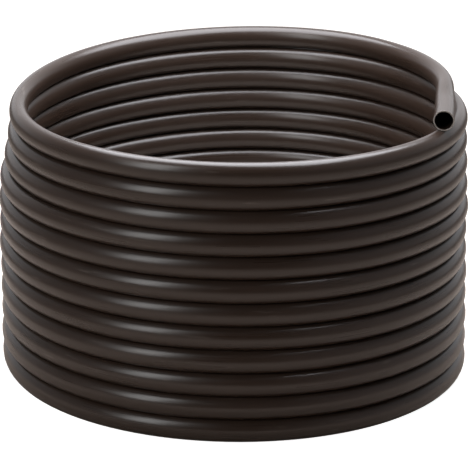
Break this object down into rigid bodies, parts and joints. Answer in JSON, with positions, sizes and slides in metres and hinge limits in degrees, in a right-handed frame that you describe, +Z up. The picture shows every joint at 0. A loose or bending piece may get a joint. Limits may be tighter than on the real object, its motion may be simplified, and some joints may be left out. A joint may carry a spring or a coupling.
{
  "type": "coiled irrigation hose",
  "caption": "Plain thin-walled plastic garden hose wound into an upright single-layer coil, with both ends cut square and open.",
  "frame": {"origin": "centre of the coil, on the surface that it stands on", "axes": "+Z up along the coil's axis; +Y away from the viewer; the top cut end lies at +X and points towards -Y"},
  "size_m": [0.3665, 0.3665, 0.2328],
  "materials": {
    "hose_wall": "satin extruded polyethylene, very dark brown-black"
  },
  "bodies": {
    "root": {"turn_01_level": "hose_wall", "turn_02_level": "hose_wall", "turn_03_level": "hose_wall", "turn_04_level": "hose_wall", "turn_05_level": "hose_wall", "turn_06_level": "hose_wall", "turn_07_level": "hose_wall", "turn_08_level": "hose_wall", "turn_09_level": "hose_wall", "turn_10_level": "hose_wall", "turn_11_level": "hose_wall", "turn_12_level": "hose_wall", "turn_01_climb": "hose_wall", "turn_02_climb": "hose_wall", "turn_03_climb": "hose_wall", "turn_04_climb": "hose_wall", "turn_05_climb": "hose_wall", "turn_06_climb": "hose_wall", "turn_07_climb": "hose_wall", "turn_08_climb": "hose_wall", "turn_09_climb": "hose_wall", "turn_10_climb": "hose_wall", "turn_11_climb": "hose_wall", "turn_12_climb": "hose_wall", "top_bend": "hose_wall", "top_rounding": "hose_wall", "top_cut_end": "hose_wall", "tail_rounding": "hose_wall", "tail_cut_end": "hose_wall"}
  },
  "joints": []
}
